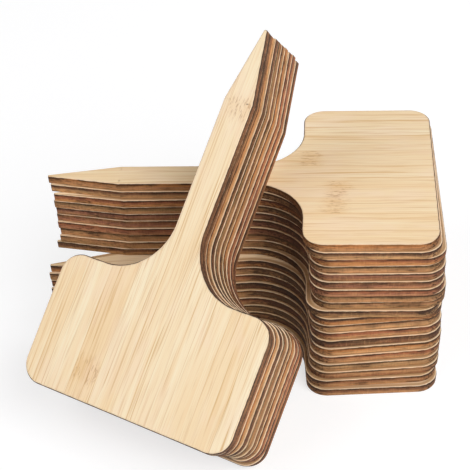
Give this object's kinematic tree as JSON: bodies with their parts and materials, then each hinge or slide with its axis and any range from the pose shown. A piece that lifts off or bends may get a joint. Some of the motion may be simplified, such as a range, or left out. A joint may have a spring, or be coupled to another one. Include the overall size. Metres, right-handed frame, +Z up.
{
  "type": "plant label stake set",
  "caption": "Flat T-shaped bamboo plant labels with pointed stems, stacked in two crossed bundles with a third bundle leaning on them.",
  "frame": {"origin": "middle of the lowest label's head, on the face that it rests on", "axes": "+Z up; the spikes of the lying labels point along -X; the leaning bundle stands on the -Y side"},
  "size_m": [0.1044, 0.1027, 0.0848],
  "materials": {
    "bamboo_board": "sanded natural bamboo, unlacquered, with laser-burnt brown edges"
  },
  "bodies": {
    "lower_label_01": {"lower_label_01": "bamboo_board"},
    "lower_label_02": {"lower_label_02": "bamboo_board"},
    "lower_label_03": {"lower_label_03": "bamboo_board"},
    "lower_label_04": {"lower_label_04": "bamboo_board"},
    "lower_label_05": {"lower_label_05": "bamboo_board"},
    "lower_label_06": {"lower_label_06": "bamboo_board"},
    "lower_label_07": {"lower_label_07": "bamboo_board"},
    "lower_label_08": {"lower_label_08": "bamboo_board"},
    "lower_label_09": {"lower_label_09": "bamboo_board"},
    "lower_label_10": {"lower_label_10": "bamboo_board"},
    "upper_label_01": {"upper_label_01": "bamboo_board"},
    "upper_label_02": {"upper_label_02": "bamboo_board"},
    "upper_label_03": {"upper_label_03": "bamboo_board"},
    "upper_label_04": {"upper_label_04": "bamboo_board"},
    "upper_label_05": {"upper_label_05": "bamboo_board"},
    "upper_label_06": {"upper_label_06": "bamboo_board"},
    "upper_label_07": {"upper_label_07": "bamboo_board"},
    "upper_label_08": {"upper_label_08": "bamboo_board"},
    "upper_label_09": {"upper_label_09": "bamboo_board"},
    "upper_label_10": {"upper_label_10": "bamboo_board"},
    "leaning_label_01": {"leaning_label_01": "bamboo_board"},
    "leaning_label_02": {"leaning_label_02": "bamboo_board"},
    "leaning_label_03": {"leaning_label_03": "bamboo_board"},
    "leaning_label_04": {"leaning_label_04": "bamboo_board"},
    "leaning_label_05": {"leaning_label_05": "bamboo_board"},
    "leaning_label_06": {"leaning_label_06": "bamboo_board"},
    "leaning_label_07": {"leaning_label_07": "bamboo_board"},
    "leaning_label_08": {"leaning_label_08": "bamboo_board"},
    "leaning_label_09": {"leaning_label_09": "bamboo_board"},
    "leaning_label_10": {"leaning_label_10": "bamboo_board"}
  },
  "joints": [
    {"name": "lower_label_02_lift", "type": "slide", "parent": "lower_label_01", "child": "lower_label_02", "axis": [0, 0, 1], "range_m": [0, 0.02]},
    {"name": "lower_label_03_lift", "type": "slide", "parent": "lower_label_02", "child": "lower_label_03", "axis": [0, 0, 1], "range_m": [0, 0.02]},
    {"name": "lower_label_04_lift", "type": "slide", "parent": "lower_label_03", "child": "lower_label_04", "axis": [0, 0, 1], "range_m": [0, 0.02]},
    {"name": "lower_label_05_lift", "type": "slide", "parent": "lower_label_04", "child": "lower_label_05", "axis": [0, 0, 1], "range_m": [0, 0.02]},
    {"name": "lower_label_06_lift", "type": "slide", "parent": "lower_label_05", "child": "lower_label_06", "axis": [0, 0, 1], "range_m": [0, 0.02]},
    {"name": "lower_label_07_lift", "type": "slide", "parent": "lower_label_06", "child": "lower_label_07", "axis": [0, 0, 1], "range_m": [0, 0.02]},
    {"name": "lower_label_08_lift", "type": "slide", "parent": "lower_label_07", "child": "lower_label_08", "axis": [0, 0, 1], "range_m": [0, 0.02]},
    {"name": "lower_label_09_lift", "type": "slide", "parent": "lower_label_08", "child": "lower_label_09", "axis": [0, 0, 1], "range_m": [0, 0.02]},
    {"name": "lower_label_10_lift", "type": "slide", "parent": "lower_label_09", "child": "lower_label_10", "axis": [0, 0, 1], "range_m": [0, 0.02]},
    {"name": "upper_label_01_lift", "type": "slide", "parent": "lower_label_10", "child": "upper_label_01", "axis": [0, 0, 1], "range_m": [0, 0.02]},
    {"name": "upper_label_02_lift", "type": "slide", "parent": "upper_label_01", "child": "upper_label_02", "axis": [0, 0, 1], "range_m": [0, 0.02]},
    {"name": "upper_label_03_lift", "type": "slide", "parent": "upper_label_02", "child": "upper_label_03", "axis": [0, 0, 1], "range_m": [0, 0.02]},
    {"name": "upper_label_04_lift", "type": "slide", "parent": "upper_label_03", "child": "upper_label_04", "axis": [0, 0, 1], "range_m": [0, 0.02]},
    {"name": "upper_label_05_lift", "type": "slide", "parent": "upper_label_04", "child": "upper_label_05", "axis": [0, 0, 1], "range_m": [0, 0.02]},
    {"name": "upper_label_06_lift", "type": "slide", "parent": "upper_label_05", "child": "upper_label_06", "axis": [0, 0, 1], "range_m": [0, 0.02]},
    {"name": "upper_label_07_lift", "type": "slide", "parent": "upper_label_06", "child": "upper_label_07", "axis": [0, 0, 1], "range_m": [0, 0.02]},
    {"name": "upper_label_08_lift", "type": "slide", "parent": "upper_label_07", "child": "upper_label_08", "axis": [0, 0, 1], "range_m": [0, 0.02]},
    {"name": "upper_label_09_lift", "type": "slide", "parent": "upper_label_08", "child": "upper_label_09", "axis": [0, 0, 1], "range_m": [0, 0.02]},
    {"name": "upper_label_10_lift", "type": "slide", "parent": "upper_label_09", "child": "upper_label_10", "axis": [0, 0, 1], "range_m": [0, 0.02]},
    {"name": "leaning_label_01_pull", "type": "slide", "parent": "upper_label_10", "child": "leaning_label_01", "axis": [-0.3356, -0.5908, 0.7337], "range_m": [0, 0.02]},
    {"name": "leaning_label_02_pull", "type": "slide", "parent": "leaning_label_01", "child": "leaning_label_02", "axis": [-0.3356, -0.5908, 0.7337], "range_m": [0, 0.02]},
    {"name": "leaning_label_03_pull", "type": "slide", "parent": "leaning_label_02", "child": "leaning_label_03", "axis": [-0.3356, -0.5908, 0.7337], "range_m": [0, 0.02]},
    {"name": "leaning_label_04_pull", "type": "slide", "parent": "leaning_label_03", "child": "leaning_label_04", "axis": [-0.3356, -0.5908, 0.7337], "range_m": [0, 0.02]},
    {"name": "leaning_label_05_pull", "type": "slide", "parent": "leaning_label_04", "child": "leaning_label_05", "axis": [-0.3356, -0.5908, 0.7337], "range_m": [0, 0.02]},
    {"name": "leaning_label_06_pull", "type": "slide", "parent": "leaning_label_05", "child": "leaning_label_06", "axis": [-0.3356, -0.5908, 0.7337], "range_m": [0, 0.02]},
    {"name": "leaning_label_07_pull", "type": "slide", "parent": "leaning_label_06", "child": "leaning_label_07", "axis": [-0.3356, -0.5908, 0.7337], "range_m": [0, 0.02]},
    {"name": "leaning_label_08_pull", "type": "slide", "parent": "leaning_label_07", "child": "leaning_label_08", "axis": [-0.3356, -0.5908, 0.7337], "range_m": [0, 0.02]},
    {"name": "leaning_label_09_pull", "type": "slide", "parent": "leaning_label_08", "child": "leaning_label_09", "axis": [-0.3356, -0.5908, 0.7337], "range_m": [0, 0.02]},
    {"name": "leaning_label_10_pull", "type": "slide", "parent": "leaning_label_09", "child": "leaning_label_10", "axis": [-0.3356, -0.5908, 0.7337], "range_m": [0, 0.02]}
  ]
}
